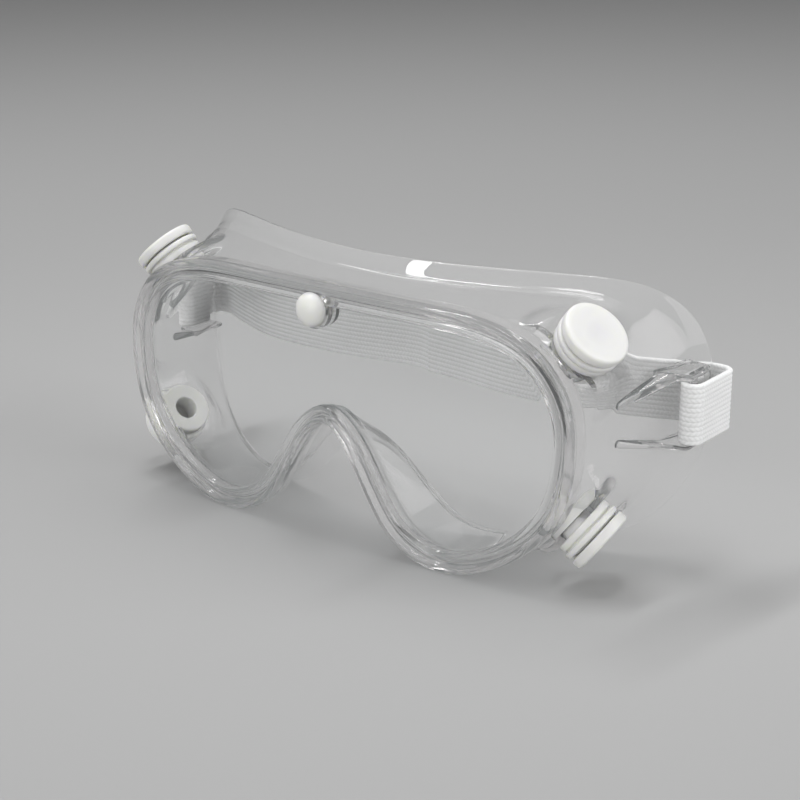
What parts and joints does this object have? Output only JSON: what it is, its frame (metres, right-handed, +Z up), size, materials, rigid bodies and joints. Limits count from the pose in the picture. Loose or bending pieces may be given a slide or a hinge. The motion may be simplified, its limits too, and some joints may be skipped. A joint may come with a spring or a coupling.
{
  "type": "safety goggles",
  "caption": "Clear splash goggles: soft shell with a grooved rim, gently curved lens with a nose notch, capped indirect vents and an elastic head strap.",
  "frame": {"origin": "middle of the object's footprint on the surface it rests on", "axes": "+X across the face towards the right-hand lug seen from the front, +Y from the lens back to the face, +Z up"},
  "size_m": [0.1896, 0.0636, 0.0789],
  "materials": {
    "clear_pvc": "clear soft PVC with a polished moulded surface and a faint blue-green tint in thick edges",
    "clear_lens": "clear polished polycarbonate",
    "white_plastic": "white slightly translucent injection-moulded plastic",
    "white_elastic": "white knitted elastic with lengthwise ribs"
  },
  "bodies": {
    "goggles": {"frame_shell": "clear_pvc", "lens": "clear_lens", "brow_stud": "white_plastic", "brow_stud_clip": "white_plastic", "vent_bushing_top_right": "white_plastic", "vent_housing_top_right": "white_plastic", "vent_bushing_top_left": "white_plastic", "vent_housing_top_left": "white_plastic", "vent_bushing_low_right": "white_plastic", "vent_housing_low_right": "white_plastic", "vent_bushing_low_left": "white_plastic", "vent_housing_low_left": "white_plastic", "strap_end_right": "white_elastic", "strap_end_left": "white_elastic"},
    "cap_top_right": {"vent_cap_top_right": "white_plastic"},
    "cap_top_left": {"vent_cap_top_left": "white_plastic"},
    "cap_low_right": {"vent_cap_low_right": "white_plastic"},
    "cap_low_left": {"vent_cap_low_left": "white_plastic"},
    "strap": {"strap_band": "white_elastic"}
  },
  "joints": [
    {"name": "cap_turn_top_right", "type": "hinge", "parent": "goggles", "child": "cap_top_right", "pos_m": [0.0715, -0.01018, 0.0648], "axis": [0.6608, -0.1405, 0.7373], "continuous": true},
    {"name": "cap_turn_top_left", "type": "hinge", "parent": "goggles", "child": "cap_top_left", "pos_m": [-0.0715, -0.01018, 0.0648], "axis": [-0.6608, -0.1405, 0.7373], "continuous": true},
    {"name": "cap_turn_low_right", "type": "hinge", "parent": "goggles", "child": "cap_low_right", "pos_m": [0.0728, -0.00967, 0.0167], "axis": [0.7698, 0.1919, -0.6088], "continuous": true},
    {"name": "cap_turn_low_left", "type": "hinge", "parent": "goggles", "child": "cap_low_left", "pos_m": [-0.0728, -0.00967, 0.0167], "axis": [-0.7698, 0.1919, -0.6088], "continuous": true},
    {"name": "strap_stretch", "type": "slide", "parent": "goggles", "child": "strap", "axis": [0, 1, 0], "range_m": [0, 0.14], "stiffness_N_per_m": 12}
  ]
}
